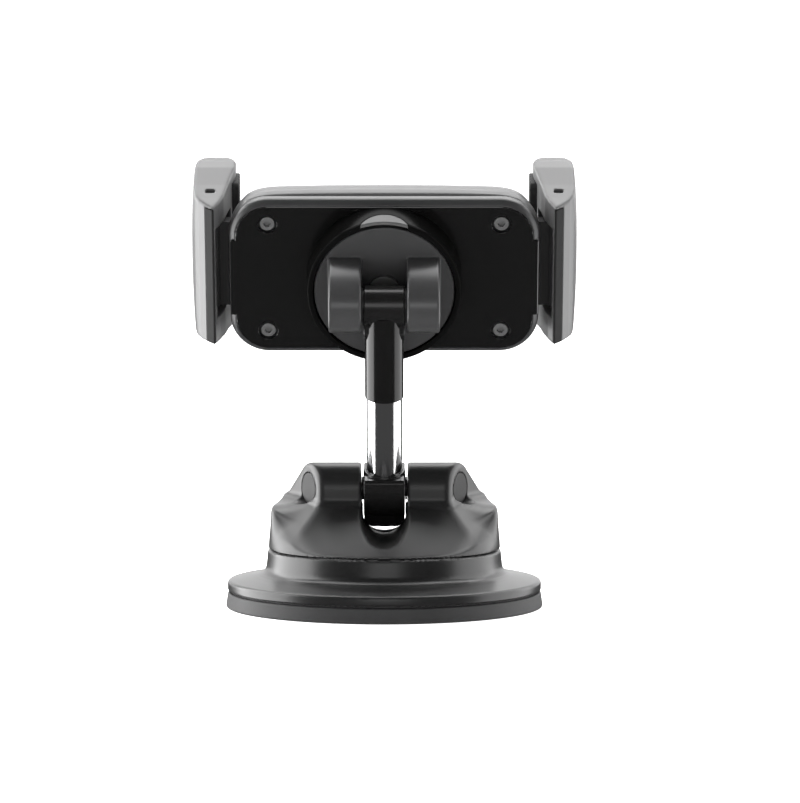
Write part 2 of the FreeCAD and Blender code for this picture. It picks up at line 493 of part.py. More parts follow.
b = body("front_pad", HEAD_FRAME)
pad(b, "XY", [rounded(32.0, 16.0, 9.0)], D("pad_front"), front + 0.7)
soften(b, 0.6, lambda e: e.BoundBox.ZMax < -32.35)
for y in (-10.0, -5.0, 0.0, 5.0, 10.0):
    cut(b, "XY", [box(-26.0, 26.0, y - 0.5, y + 0.5)], D("pad_front") - 0.1, D("pad_front") + 0.5)

# ---------------------------------------------------------------- pinion and racks
m, teeth, lash = VALUES["gear_module"], int(VALUES["gear_teeth"]), VALUES["gear_backlash"]
PRESSURE = math.radians(25)
pitch_r = m * teeth / 2


def pinion_face():
    """Involute outline, 25 degree pressure angle, short addendum."""
    base_r, tip_r, root_r = pitch_r * math.cos(PRESSURE), pitch_r + 0.8 * m, pitch_r - 1.05 * m
    half = (math.pi * m / 2 - lash) / 2 / pitch_r + math.tan(PRESSURE) - PRESSURE
    pts = []
    for t in range(teeth):
        mid = 2 * math.pi * t / teeth
        flank = []
        for i in range(9):
            r = max(root_r, base_r) + (tip_r - max(root_r, base_r)) * i / 8
            roll = math.acos(min(1.0, base_r / r))
            flank.append((r, half - (math.tan(roll) - roll)))
        if root_r < base_r:
            flank.insert(0, (root_r, half))
        pts += [(r, mid - a) for r, a in flank] + [(r, mid + a) for r, a in reversed(flank)]
    xy = [V(r * math.cos(a), r * math.sin(a), VALUES["tongue_front"]) for r, a in pts]
    return Part.Face(Part.makePolygon(xy + [xy[0]]))


pinion = doc.addObject("Part::Feature", "pinion")
pinion.Label = "pinion"
wheel = pinion_face().extrude(V(0, 0, VALUES["tongue_back"] - VALUES["tongue_front"]))
hub = Part.makeCylinder(3.0, 0.9, V(0, 0, VALUES["tongue_back"]))
wheel = wheel.fuse(hub).cut(Part.makeCylinder(VALUES["pinion_bore"], 20, V(0, 0, VALUES["tongue_front"] - 5))).removeSplitter()
# a tooth points along +X; the racks' teeth are set to match
pinion.Shape = wheel
pinion.setExpression("Placement", HEAD_FRAME)
NODES.append(pinion)


def rack_points(x0, x1, back, offset):
    """Toothed edge from x0 to x1 for a rack above the pinion; back is the height of its far edge and offset the x of one tooth space's middle."""
    pitch = math.pi * m
    tip, root = pitch_r - 0.8 * m, pitch_r + 1.05 * m
    half_pitch_line = (pitch / 2 - lash) / 2
    pts = [(x0, back), (x0, root)]
    n = int(math.ceil((x0 - offset) / pitch - 0.5)) + 1
    while True:
        c = offset + (n + 0.5) * pitch
        if c + pitch / 2 > x1:
            break
        wide = half_pitch_line + math.tan(PRESSURE) * (root - pitch_r)
        narrow = half_pitch_line - math.tan(PRESSURE) * (pitch_r - tip)
        if c - wide > x0 + 0.2:
            pts += [(c - wide, root), (c - narrow, tip), (c + narrow, tip), (c + wide, root)]
        n += 1
    pts += [(x1, root), (x1, back)]
    return pts


def slider(name, sgn):
    """Side arm's slide: a wide tongue outside, a rack arm across the pinion inside. sgn -1 is the left one, whose rack passes above the pinion; the right one is the same turned half round."""
    b = body(name, HEAD_FRAME)
    # the pinion has 12 teeth, so it has a tooth at the top and one at the bottom: a space of each rack is at x = 0
    rack = rack_points(-32.0, 15.5, 9.3, 0.0)
    q = -1 if sgn > 0 else 1
    rack = [(x * q, y * q) for x, y in rack]
    lo, hi = D("tongue_front"), D("tongue_back")
    pad(b, "XY", [rack], lo, hi)
    t = D("tongue_high")
    tongue = [(-43.4, -t), (-30.0, -t), (-28.0, -t + 3.0), (-28.0, 9.3), (-30.0, t), (-43.4, t)]
    tongue = [(size(x) * q, size(y) * q) for x, y in tongue]
    pad(b, "XY", [tongue], lo, hi)
    return b


def arm(label, sgn):
    """One side arm, drawn for the right side and mirrored by sgn."""
    b = slider(label + "_slider", sgn)
    g = lambda pts: [((size(p[0]) * sgn,) + (p[1],) + ((p[2] * sgn,) if len(p) == 3 else ())) for p in pts]
    # foot that carries the shell
    pad(b, "XY", [g(box(41.9, 43.4, -11.0, 11.0))], -30.4, -22.0)
    cut(b, "YZ", [("o", y, -28.9, 0.85) for y in (-6.0, 6.0)], *((40.0, 45.0) if sgn > 0 else (-45.0, -40.0)))

    # plan section across the shell: X against the cradle's depth
    rear, outer, grip, tip = D("arm_rear"), D("arm_outer"), D("arm_grip"), D("arm_front")
    b = body(label + "_arm_shell", HEAD_FRAME)
    inner = [(45.6, rear - 0.6), (43.4, -19.6), (41.0, -23.4), (40.2, -28.0), (39.4, -33.2), (38.8, -35.5), (38.4, -38.0), (38.4, -40.6), (39.6, -42.6)]
    outside = [(42.5, tip), (45.2, -42.4), (47.3, -39.5), (48.7, -35.0), (outer, -30.0), (outer, -27.0), (48.9, -23.0), (47.9, -19.5), (46.9, rear - 0.2)]
    pad(b, "XZ", [g(inner + outside)], -22.2, 22.2)
    # side outline: depth against height
    side = [(-46.0, 24.0), (-15.0, 24.0), (-15.0, 17.3), (rear, 17.6), (-24.0, 19.6), (-34.0, 21.7), (-39.5, 22.0), (-42.6, 20.2), (-44.0, 16.5)]
    side_yz = [(y, z) for z, y in side]
    low_yz = [(-y, z) for z, y in side]
    cut(b, "YZ", [side_yz], 30.0 if sgn > 0 else -55.0, 55.0 if sgn > 0 else -30.0)
    cut(b, "YZ", [low_yz], 30.0 if sgn > 0 else -55.0, 55.0 if sgn > 0 else -30.0)
    # rear outline: width against height
    for up in (1, -1):
        cut(b, "XY", [g([(outer + 0.2, 5.0 * up), (outer - 0.15, 11.0 * up), (outer - 0.7, 16.0 * up), (outer - 2.0, 20.0 * up), (outer - 4.2, 23.0 * up), (56.0, 23.0 * up), (56.0, 5.0 * up)])], -50.0, -10.0)
    # room for the slide between the two flanks, recess of the grip pad, slot in the upper end
    cut(b, "XY", [g(box(36.0, 43.45, -12.3, 12.3))], -31.6, -10.0)
    cut(b, "XY", [g(box(36.0, 39.6, -18.2, 18.2))], -41.0, -33.0)
    cut(b, "XZ", [g([(44.2, -31.6), (46.6, -31.6), (46.6, -30.8), (44.2, -30.8)])], 17.0, 24.0)
    cut(b, "YZ", [("o", y, -28.9, 0.85) for y in (-6.0, 6.0)], *((40.0, 46.5) if sgn > 0 else (-46.5, -40.0)))

    b = body(label + "_arm_strip", HEAD_FRAME)
    pad(b, "XZ", [g([(43.5, rear - 1.4), (44.2, rear + 0.1), (45.4, rear + 0.2), (46.85, rear - 0.15), (45.55, rear - 0.62), (43.5, -19.3)])], -18.6, 17.4)
    b = body(label + "_pad", HEAD_FRAME)
    pad(b, "XY", [g(box(grip, 39.55, -18.1, 18.1))], -40.9, -33.15)
    for z in (-39.8, -38.2, -36.6, -35.0):
        cut(b, "YZ", [box(-19.0, 19.0, z, z + 0.6)], *((36.0, 37.2) if sgn > 0 else (-37.2, -36.0)))
    b = body(label + "_arm_screws", HEAD_FRAME)
    for y in (-6.0, 6.0):
        lo, hi = (41.0, 46.3) if sgn > 0 else (-46.3, -41.0)
        pad(b, "YZ", [("o", y, -28.9, 0.84)], lo, hi)
        lo, hi = (40.9, 41.85) if sgn > 0 else (-41.85, -40.9)
    return b


arm("left", -1)
arm("right", 1)

# ================================================================ check and write
doc.recompute()
for o in doc.Objects:
    if "Invalid" in o.State or "Error" in o.State:
        raise RuntimeError("failed: " + o.Name)
for o in NODES:
    shape = o.Shape
    if shape.isNull() or not shape.isValid():
        raise RuntimeError("bad shape: " + o.Label)
for old in os.listdir("parts"):
    if old.endswith(".step"):
        os.remove(os.path.join("parts", old))
for o in NODES:
    o.Shape.exportStep("parts/%s.step" % o.Label)
    print("%-20s solids %d volume %.1f" % (o.Label, len(o.Shape.Solids), o.Shape.Volume))
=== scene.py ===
import bpy
import bmesh
import math
import numpy as np
from mathutils import Matrix, Vector


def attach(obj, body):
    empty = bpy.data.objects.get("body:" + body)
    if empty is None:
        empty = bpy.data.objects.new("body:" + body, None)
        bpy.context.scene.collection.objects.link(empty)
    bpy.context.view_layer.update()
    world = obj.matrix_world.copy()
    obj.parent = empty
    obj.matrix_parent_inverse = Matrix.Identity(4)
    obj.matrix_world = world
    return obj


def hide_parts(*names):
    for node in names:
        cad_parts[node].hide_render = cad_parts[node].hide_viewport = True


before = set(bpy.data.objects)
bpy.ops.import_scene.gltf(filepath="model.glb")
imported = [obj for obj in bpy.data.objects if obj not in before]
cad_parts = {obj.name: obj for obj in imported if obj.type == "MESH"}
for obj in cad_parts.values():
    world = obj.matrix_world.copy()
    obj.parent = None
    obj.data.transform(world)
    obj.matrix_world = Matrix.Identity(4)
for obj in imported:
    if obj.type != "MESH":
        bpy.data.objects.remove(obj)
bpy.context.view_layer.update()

# ------------------------------------------------------------------ frames, in mm
LEAN = math.radians(19.3)
HEAD = math.radians(112.5)
ARM_LENGTH = 50.1


def frame_matrix(origin, turn):
    return np.array(Matrix.Translation(Vector(origin)) @ Matrix.Rotation(turn, 4, "X"), float)


WORLD = np.eye(4)
ARM = frame_matrix((0, 0, 30.0), LEAN)
UPPER = (0.0, -math.sin(LEAN) * ARM_LENGTH, 30.0 + math.cos(LEAN) * ARM_LENGTH)
HEADF = frame_matrix(UPPER, HEAD)


# ------------------------------------------------------------------ distance functions (mm)
def smin(a, b, k):
    h = np.clip(0.5 + 0.5 * (b - a) / k, 0, 1)
    return b * (1 - h) + a * h - k * h * (1 - h)


def smax(a, b, k):
    return -smin(-a, -b, k)


def poly(x, y, pts, r=0.0):
    """Distance to a polygon; r rounds its convex corners."""
    p = np.asarray(pts, float)
    if r:
        p = inset(p, r)
    d = np.full(np.shape(x), 1e9)
    inside = np.zeros(np.shape(x), bool)
    n = len(p)
    for i in range(n):
        a, b = p[i], p[(i + 1) % n]
        ex, ey = b - a
        wx, wy = x - a[0], y - a[1]
        t = np.clip((wx * ex + wy * ey) / (ex * ex + ey * ey), 0, 1)
        d = np.minimum(d, (wx - ex * t) ** 2 + (wy - ey * t) ** 2)
        up = (a[1] <= y) & (b[1] > y) & (ex * wy - ey * wx > 0)
        down = (a[1] > y) & (b[1] <= y) & (ex * wy - ey * wx < 0)
        inside ^= up | down
    d = np.sqrt(d)
    return np.where(inside, -d, d) - r


def inset(p, r):
    """The polygon with every side moved inwards by r."""
    area = sum(p[i][0] * p[(i + 1) % len(p)][1] - p[(i + 1) % len(p)][0] * p[i][1] for i in range(len(p)))
    sign = 1 if area > 0 else -1
    out = []
    n = len(p)
    for i in range(n):
        a, b, c = p[i - 1], p[i], p[(i + 1) % n]
        u = (b - a) / np.linalg.norm(b - a)
        v = (c - b) / np.linalg.norm(c - b)
        nu = np.array([-u[1], u[0]]) * sign
        nv = np.array([-v[1], v[0]]) * sign
        k = 1 + nu @ nv
        out.append(b + (nu + nv) * r / max(k, 0.25))
    return np.array(out)


def rect(x, y, hx, hy, r=0.0):
    qx, qy = np.abs(x) - hx + r, np.abs(y) - hy + r
    return np.hypot(np.maximum(qx, 0), np.maximum(qy, 0)) + np.minimum(np.maximum(qx, qy), 0) - r


def span(z, lo, hi):
    return np.maximum(lo - z, z - hi)


def solid(d2, dz, r):
    """A flat outline raised between two heights, its edges rounded by r."""
    a, b = d2 + r, dz + r
    return np.hypot(np.maximum(a, 0), np.maximum(b, 0)) + np.minimum(np.maximum(a, b), 0) - r


# ------------------------------------------------------------------ meshing
def surface(f, lo, hi, h, steps=5):
    """Dual surface net of f = 0, with its vertices moved onto the surface."""
    lo, hi = np.asarray(lo, float) - h * 1.3, np.asarray(hi, float) + h * 1.3
    n = np.ceil((hi - lo) / h).astype(int) + 1
    ax = [lo[i] + h * np.arange(n[i]) for i in range(3)]
    X, Y, Z = np.meshgrid(*ax, indexing="ij")
    F = f(X, Y, Z)
    S = F < 0
    cell = np.zeros(tuple(n - 1), bool)
    acc = np.zeros(tuple(n - 1) + (3,))
    cnt = np.zeros(tuple(n - 1))
    for axis in range(3):
        a = [slice(None)] * 3
        b = [slice(None)] * 3
        a[axis], b[axis] = slice(0, -1), slice(1, None)
        fa, fb = F[tuple(a)], F[tuple(b)]
        cross = S[tuple(a)] != S[tuple(b)]
        t = np.where(cross, fa / np.where(cross, fa - fb, 1), 0)
        o1, o2 = [i for i in range(3) if i != axis]
        for d1 in (0, 1):
            for d2 in (0, 1):
                s = [slice(None)] * 3
                s[o1] = slice(0, -1) if d1 == 0 else slice(1, None)
                s[o2] = slice(0, -1) if d2 == 0 else slice(1, None)
                c, tt = cross[tuple(s)], t[tuple(s)]
                cell |= c
                cnt += c
                acc[..., axis] += tt * c
                acc[..., o1] += d1 * c
                acc[..., o2] += d2 * c
    idx = -np.ones(cell.shape, int)
    where = np.argwhere(cell)
    idx[tuple(where.T)] = np.arange(len(where))
    pts = lo + h * (where + acc[tuple(where.T)] / cnt[tuple(where.T)][:, None])
    faces = []
    for axis in range(3):
        o1, o2 = [(1, 2), (2, 0), (0, 1)][axis]
        a = [slice(None)] * 3
        b = [slice(None)] * 3
        a[axis], b[axis] = slice(0, -1), slice(1, None)
        sa, sb = S[tuple(a)], S[tuple(b)]
        e = np.argwhere(sa != sb)
        e = e[(e[:, o1] > 0) & (e[:, o2] > 0) & (e[:, o1] < cell.shape[o1]) & (e[:, o2] < cell.shape[o2])]
        flip = sa[tuple(e.T)]
        q = []
        for d1, d2 in ((0, 0), (-1, 0), (-1, -1), (0, -1)):
            c = e.copy()
            c[:, o1] += d1
            c[:, o2] += d2
            q.append(idx[tuple(c.T)])
        q = np.stack(q, 1)
        q[~flip] = q[~flip][:, ::-1]
        faces.append(q)
    faces = np.concatenate(faces)
    faces = faces[(faces >= 0).all(1)][:, ::-1]
    e = h * 0.05
    for _ in range(steps):
        d = f(*pts.T)
        g = np.stack([f(*(pts + np.eye(3)[i] * e).T) - f(*(pts - np.eye(3)[i] * e).T) for i in range(3)], 1) / (2 * e)
        step = -(d / np.maximum((g * g).sum(1), 0.2))[:, None] * g
        size = np.linalg.norm(step, axis=1)
        step *= np.minimum(1, 0.35 * h / np.maximum(size, 1e-9))[:, None]
        pts = pts + step
    return pts, faces


def new_object(name, pts, faces, m, flat=None):
    """Mesh object in metres, in the row frame, from points in mm in a local frame."""
    p = np.c_[pts, np.ones(len(pts))] @ m.T
    me = bpy.data.meshes.new(name)
    me.from_pydata((p[:, :3] / 1000).tolist(), [], [list(map(int, q)) for q in faces])
    me.update()
    bm = bmesh.new()
    bm.from_mesh(me)
    bmesh.ops.dissolve_degenerate(bm, dist=1e-7, edges=bm.edges)
    bmesh.ops.recalc_face_normals(bm, faces=bm.faces)
    bm.to_mesh(me)
    bm.free()
    for q in me.polygons:
        q.use_smooth = True
    if flat:
        me.set_sharp_from_angle(angle=math.radians(flat))
    ob = bpy.data.objects.new(name, me)
    bpy.context.scene.collection.objects.link(ob)
    return ob


def place(ob, body, mat, slot, *nodes):
    ob.data.materials.append(MATS[mat])
    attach(ob, body)
    if nodes:
        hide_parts(*nodes)
    return ob


def sculpt(name, f, lo, hi, h, m, body, mat, slot, *nodes, flat=None):
    pts, faces = surface(f, lo, hi, h)
    return place(new_object(name, pts, faces, m, flat), body, mat, slot, *nodes)


def lathe(name, profile, m, body, mat, slot, *nodes, seg=192, flat=32):
    """Turned piece: a closed outline of (radius, height)."""
    prof = []
    for (r0, h0), (r1, h1) in zip(profile, list(profile[1:]) + [profile[0]]):
        prof.append((r0, h0))
        run = math.hypot(r1 - r0, h1 - h0)
        if run > 2.5:
            # short end spans keep the shading of a bevel out of the long wall
            for f in (0.25 / run, *np.linspace(0, 1, int(run / 2.5) + 2)[1:-1], 1 - 0.25 / run):
                prof.append((r0 + (r1 - r0) * f, h0 + (h1 - h0) * f))
    prof = np.array(prof, float)
    a = 2 * np.pi * np.arange(seg) / seg
    n = len(prof)
    pts = np.stack([prof[:, 0][None] * np.cos(a)[:, None], prof[:, 0][None] * np.sin(a)[:, None], np.broadcast_to(prof[:, 1], (seg, n))], -1).reshape(-1, 3)
    faces = []
    for i in range(seg):
        j = (i + 1) % seg
        for k in range(n):
            l = (k + 1) % n
            if prof[k, 0] < 1e-6 and prof[l, 0] < 1e-6:
                continue
            faces.append([i * n + k, j * n + k, j * n + l, i * n + l])
    p = np.c_[pts, np.ones(len(pts))] @ m.T
    me = bpy.data.meshes.new(name)
    me.from_pydata((p[:, :3] / 1000).tolist(), [], faces)
    bm = bmesh.new()
    bm.from_mesh(me)
    bmesh.ops.remove_doubles(bm, verts=bm.verts, dist=1e-7)
    bmesh.ops.dissolve_degenerate(bm, dist=1e-7, edges=bm.edges)
    bmesh.ops.recalc_face_normals(bm, faces=bm.faces)
    bm.to_mesh(me)
    bm.free()
    for q in me.polygons:
        q.use_smooth = True
    me.set_sharp_from_angle(angle=math.radians(flat))
    ob = bpy.data.objects.new(name, me)
    bpy.context.scene.collection.objects.link(ob)
    return place(ob, body, mat, slot, *nodes)


def arc(cx, cy, r, a0, a1, n=6):
    return [(cx + r * math.cos(math.radians(a0 + (a1 - a0) * i / n)), cy + r * math.sin(math.radians(a0 + (a1 - a0) * i / n))) for i in range(n + 1)]


# ------------------------------------------------------------------ materials
MATS = {}


def material(name, color, rough, metal=0.0, spec=0.5, grain=0.0, grain_scale=2500.0, mottle=0.06, rough_var=0.06, edge=0.0, coat=0.0, brushed=None):
    m = bpy.data.materials.new(name)
    m.use_nodes = True
    nt = m.node_tree
    n, l = nt.nodes, nt.links
    p = n["Principled BSDF"]
    tc = n.new("ShaderNodeTexCoord")
    # slow variation of tone and gloss
    big = n.new("ShaderNodeTexNoise")
    big.inputs["Scale"].default_value = 90.0
    big.inputs["Detail"].default_value = 3.0
    l.new(tc.outputs["Object"], big.inputs["Vector"])
    mix = n.new("ShaderNodeMix")
    mix.data_type = "RGBA"
    c = list(color)
    mix.inputs[6].default_value = [v * (1 - mottle) for v in c] + [1]
    mix.inputs[7].default_value = [min(1, v * (1 + mottle)) for v in c] + [1]
    l.new(big.outputs["Fac"], mix.inputs[0])
    col = mix.outputs[2]
    # painted highlight: convex edges, found by pointiness, are lightened towards a brighter tone of the base colour,
    # standing in for the light that edges catch
    if edge:
        geo = n.new("ShaderNodeNewGeometry")
        ramp = n.new("ShaderNodeValToRGB")
        ramp.color_ramp.elements[0].position = 0.535
        ramp.color_ramp.elements[1].position = 0.62
        l.new(geo.outputs["Pointiness"], ramp.inputs["Fac"])
        edge_highlight = n.new("ShaderNodeMix")
        edge_highlight.data_type = "RGBA"
        mul = n.new("ShaderNodeMath")
        mul.operation = "MULTIPLY"
        mul.inputs[1].default_value = edge
        l.new(ramp.outputs["Color"], mul.inputs[0])
        l.new(mul.outputs[0], edge_highlight.inputs[0])
        l.new(col, edge_highlight.inputs[6])
        edge_highlight.inputs[7].default_value = [min(1, v * 2.2 + 0.02) for v in c] + [1]
        col = edge_highlight.outputs[2]
    l.new(col, p.inputs["Base Color"])
    fine = n.new("ShaderNodeTexNoise")
    fine.inputs["Scale"].default_value = grain_scale
    fine.inputs["Detail"].default_value = 2.0
    if brushed:
        mp = n.new("ShaderNodeMapping")
        mp.inputs["Scale"].default_value = brushed
        l.new(tc.outputs["Object"], mp.inputs["Vector"])
        l.new(mp.outputs["Vector"], fine.inputs["Vector"])
    else:
        l.new(tc.outputs["Object"], fine.inputs["Vector"])
    mr = n.new("ShaderNodeMapRange")
    mr.inputs["To Min"].default_value = max(0.0, rough - rough_var)
    mr.inputs["To Max"].default_value = min(1.0, rough + rough_var)
    l.new(big.outputs["Fac"], mr.inputs["Value"])
    l.new(mr.outputs["Result"], p.inputs["Roughness"])
    if grain:
        b = n.new("ShaderNodeBump")
        b.inputs["Strength"].default_value = grain
        b.inputs["Distance"].default_value = 0.00004
        l.new(fine.outputs["Fac"], b.inputs["Height"])
        l.new(b.outputs["Normal"], p.inputs["Normal"])
    p.inputs["Metallic"].default_value = metal
    p.inputs["Specular IOR Level"].default_value = spec
    p.inputs["Coat Weight"].default_value = coat
    p.inputs["Coat Roughness"].default_value = 0.05
    MATS[name] = m
    return m


g = lambda v, w=1.0: (v, v, v * w)
material("base_satin", g(0.012, 1.02), 0.34, spec=0.5, grain=0.09, grain_scale=4200, rough_var=0.03)
material("flange_satin", g(0.013, 1.02), 0.30, spec=0.5, grain=0.07, grain_scale=3400, rough_var=0.02)
material("cup_rubber_grained", g(0.036, 1.02), 0.58, spec=0.3, grain=0.9, grain_scale=2300, mottle=0.2)
material("cap_satin", g(0.012, 1.02), 0.5, spec=0.28, grain=0.22, grain_scale=3600)
material("knuckle_satin", g(0.008), 0.24, grain=0.06, grain_scale=4200, edge=0.3)
material("tube_polished", (0.80, 0.80, 0.81), 0.15, metal=1.0, grain=0.02, grain_scale=900, rough_var=0.02, mottle=0.02)
material("sleeve_black", g(0.006), 0.16, spec=0.3, grain=0.03, rough_var=0.03)
material("disc_satin", g(0.062, 1.02), 0.30, metal=0.35, grain=0.08, grain_scale=4200, rough_var=0.02)
material("housing_satin", g(0.004), 0.2, spec=0.012, grain=0.02, grain_scale=4200, edge=0.2)
material("cover_satin", g(0.032, 1.02), 0.34, grain=0.08, grain_scale=4200, edge=0.2)
material("panel_gloss", g(0.0045), 0.05, spec=0.9, grain=0.0, rough_var=0.0, mottle=0.02)
material("shell_satin", g(0.098, 1.01), 0.36, grain=0.12, grain_scale=4400, edge=0.15)
material("strip_dark", g(0.014), 0.6, spec=0.18, grain=0.12)
material("slider_dark", g(0.026), 0.5, spec=0.3, grain=0.12)
material("pad_rubber_matt", g(0.028), 0.72, grain=0.6, grain_scale=3000)
material("lever_satin", g(0.030), 0.36, grain=0.10, edge=0.3)
material("screw_zinc", g(0.22), 0.40, metal=0.6, grain=0.3, grain_scale=5000)
material("steel_ground", g(0.55), 0.30, metal=1.0, grain=0.25, brushed=(400, 4000, 400))
material("washer_black", g(0.02), 0.45, grain=0.08)
material("acetal_white", (0.72, 0.71, 0.67), 0.42, grain=0.08)
material("button_silvered", g(0.10), 0.5, metal=0.2, spec=0.2, grain=0.18, grain_scale=5200)

# CAD pieces that keep their own shape, and their better materials
KEEP = {
    "cup_boss": "cup_rubber_grained", "base_screws": "screw_zinc", "lower_hinge_pin": "steel_ground", "lower_washers": "washer_black",
    "cam_plate": "steel_ground", "pull_stem": "steel_ground", "lever_pin": "steel_ground", "tube_guide": "washer_black",
    "upper_hinge_pin": "steel_ground", "upper_washers": "washer_black", "friction_washer": "washer_black", "spring_washer": "steel_ground",
    "swivel_nut": "steel_ground", "pinion": "acetal_white", "left_slider": "slider_dark", "right_slider": "slider_dark",
    "left_arm_screws": "screw_zinc", "right_arm_screws": "screw_zinc", "lock_lever": "lever_satin", 
    "swivel_bolt": "screw_zinc", "cover_screws": "screw_zinc", "release_button": "button_silvered",
}
for node, name in KEEP.items():
    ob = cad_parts[node]
    ob.data.materials.clear()
    ob.data.materials.append(MATS[name])

# ================================================================== base
cup = [(11.1, 2.3), (20, 1.5), (28, 0.75), (33.4, 0.3), (34.0, 0.0)] + arc(39.5, 0.6, 0.6, -90, 0) + arc(39.2, 3.4, 0.5, 0, 90) + [(38.85, 3.9), (38.8, 3.95), (38.8, 4.28), (34.5, 4.28), (32.5, 2.9), (20, 3.0), (14, 4.0), (11.1, 4.0)]
lathe("suction_cup_mesh", cup, WORLD, "base", "cup_rubber_grained", "cup_rubber", "suction_cup", seg=256)

FLANGE = [(3.05, 6.0), (12.5, 6.0), (31.5, 5.1), (33.5, 4.3), (38.8, 4.3), (39.45, 4.32), (39.7, 4.6), (39.7, 6.15), (39.55, 6.6), (39.2, 6.86), (38.5, 6.95),
          (36.0, 7.45), (33.6, 7.95), (32.0, 8.35), (30.95, 8.8), (30.25, 9.5), (29.92, 10.3), (29.72, 11.8), (29.5, 14.2), (29.35, 14.45), (29.1, 14.5), (28.9, 14.5), (28.88, 14.88), (26.5, 14.88), (26.5, 7.2), (3.05, 7.2)]


def flange(x, y, z):
    r = np.hypot(x, y)
    d = poly(r, z, FLANGE)
    d = np.maximum(d, -np.maximum(np.maximum(np.abs(x) - 5.5, 8.9 - z), 20 - y))
    d = np.maximum(d, -np.maximum(np.maximum(np.abs(x) - 10.9, 8.75 - z), 28.9 - y))
    return d


def ear_profile(y, z):
    """Side view of the hinge ears: the barrel and the ramp to the deck."""
    ramp = poly(y, z, [(-6.6, 12.0), (18.0, 12.0), (18.0, 24.2), (16.2, 25.6), (4.65, 34.68), (0.0, 34.0), (-6.6, 30.0)])
    return np.minimum(np.hypot(y, z - 30.0) - 6.6, ramp)


def ease(t):
    t = np.clip(t, 0, 1)
    return t * t * (3 - 2 * t)


def floor_height(x):
    return 22.75 - 3.35 * np.sqrt(np.clip(1 - (x / 5.36) ** 2, 0, 1))


def web_floor(x, z):
    return np.where(np.abs(x) < 5.32, z - floor_height(x), z - 26.4) * 0.7


def turret(x, y, z):
    ax = np.abs(x)
    r = np.hypot(x, y)
    out = (ax - (19.3 + 0.4452 * y)) * 0.913
    ears = smax(out, ear_profile(y, z), 1.5)
    full = 29.32 - 0.3 * np.clip((z - 15) / 10, 0, 1)
    # skin below the ears: their outline at the deck runs out into the round seat
    t = np.clip((26.2 - z) / 11.2, 0, 1)
    top = smax(out, -6.6 - y, 1.5)
    loft = smax((top * (1 - t) + (r - full) * t) * 0.75, z - 26.2, 0.6)
    ears = smax(ears, r - full, 0.9)
    deck = smax(z - 25.6, (z - 25.6 - 0.6 * (y + 1.0)) / 1.17, 2.0)
    round_off = 1.4 + 6.0 * ease((-1.0 - y) / 8.0)
    skin = smax(smin(loft, smax(deck, r - full, round_off), 5.0), r - full, 1.2)
    d = smin(ears, skin, 1.6)
    d = smax(d, 14.92 - z, 0.25)
    # slot for the arm: a round floor that falls away to the rear
    drop = np.clip((-6.0 - y) / 16.0, 0, 1) ** 1.2 * 1.9
    zf = z + drop
    tube_d = np.where(zf < 24.8, np.hypot(x, zf - 24.8) - 5.8, np.abs(x) - 5.8)
    d = smax(d, -tube_d, 0.8)
    front = np.maximum(np.maximum(np.abs(x) - 5.8, 10.0 - z), 1.5 - y)
    d = smax(d, -front, 0.3)
    # low web at the front end of the slot, close round the arm's heel
    web = np.maximum(np.maximum(web_floor(x, z), ax - 6.6), np.maximum(span(y, -1.2, 1.5), 16.0 - z))
    d = np.minimum(d, web)
    cav = np.maximum(np.maximum(np.abs(x) - 6.2, z - 16.6), np.abs(y) - 6.0)
    d = np.maximum(d, -cav)
    cap = np.maximum(np.hypot(y, z - 30.0) - 4.08, 13.6 - ax)
    return smax(d, -cap, 0.18)


def cap_shape(sgn):
    def f(x, y, z):
        d2 = np.hypot(y, z - 30.0) - 4.0
        face = (x * sgn - (19.3 + 0.4452 * y) + 0.05) * 0.913
        return smax(smax(d2, face, 0.35), 13.62 - x * sgn, 0.05)
    return f


# ================================================================== arm
def lower_knuckle(x, y, z):
    side = poly(y, z, [(-6.2, 4.0), (-6.85, 1.5), (-6.95, 0.0), (-6.2, -3.1), (-4.6, -5.25), (-2.4, -6.55), (0.0, -7.0), (2.4, -6.55), (4.6, -5.25), (6.2, -3.1), (6.95, 0.0), (6.85, 1.5), (6.2, 4.0), (5.6, 4.6), (-5.6, 4.6)])
    d = solid(side, np.abs(x) - 5.2, 0.35)
    # heel behind the barrel, its outline following the floor of the slot
    yw, zw = 0.9438 * y - 0.3305 * z, 0.3305 * y + 0.9438 * z
    ax = np.abs(x)
    reach = 30.0 - floor_height(np.minimum(ax, 5.2)) - (0.66 - 0.60 * ease((ax - 1.3) / 2.3))
    heel = smax(np.hypot(y, z) - reach, np.maximum(-0.4 - yw - 0.3 * (zw + 7.0), yw - 6.0), 0.5) * 0.8
    d = np.minimum(d, smax(heel, np.maximum(ax - 5.12, zw + 2.0), 0.2))
    collar = solid(np.hypot(x, y) - 5.15, span(z, 2.0, 5.2), 0.25)
    d = smin(d, collar, 0.5)
    d = np.maximum(d, -np.maximum(np.hypot(x, y) - 4.52, span(z, 4.6, 9.0)))
    d = np.minimum(d, np.maximum(np.hypot(x, y) - 3.98, span(z, 3.0, 13.8)))
    return np.maximum(d, -(np.hypot(y, z) - 2.05))


def upper_knuckle(x, y, z):
    L = ARM_LENGTH
    barrel = solid(np.hypot(y, z - L) - 5.1, np.abs(x) - 5.1, 0.3)
    cheek = solid(poly(y, z, [(-2.9, L), (-2.9, 43.5), (-1.9, 41.5), (1.9, 41.5), (2.9, 43.5), (2.9, L)], 0.3), np.abs(x) - 5.1, 0.3)
    d = smin(barrel, cheek, 0.5)
    d = np.maximum(d, -np.maximum(np.hypot(x, y) - 4.86, z - 48.0))
    d = np.minimum(d, np.maximum(np.hypot(x, y) - 4.52, span(z, 46.3, L - 1)))
    return np.maximum(d, -(np.hypot(y, z - L) - 2.05))


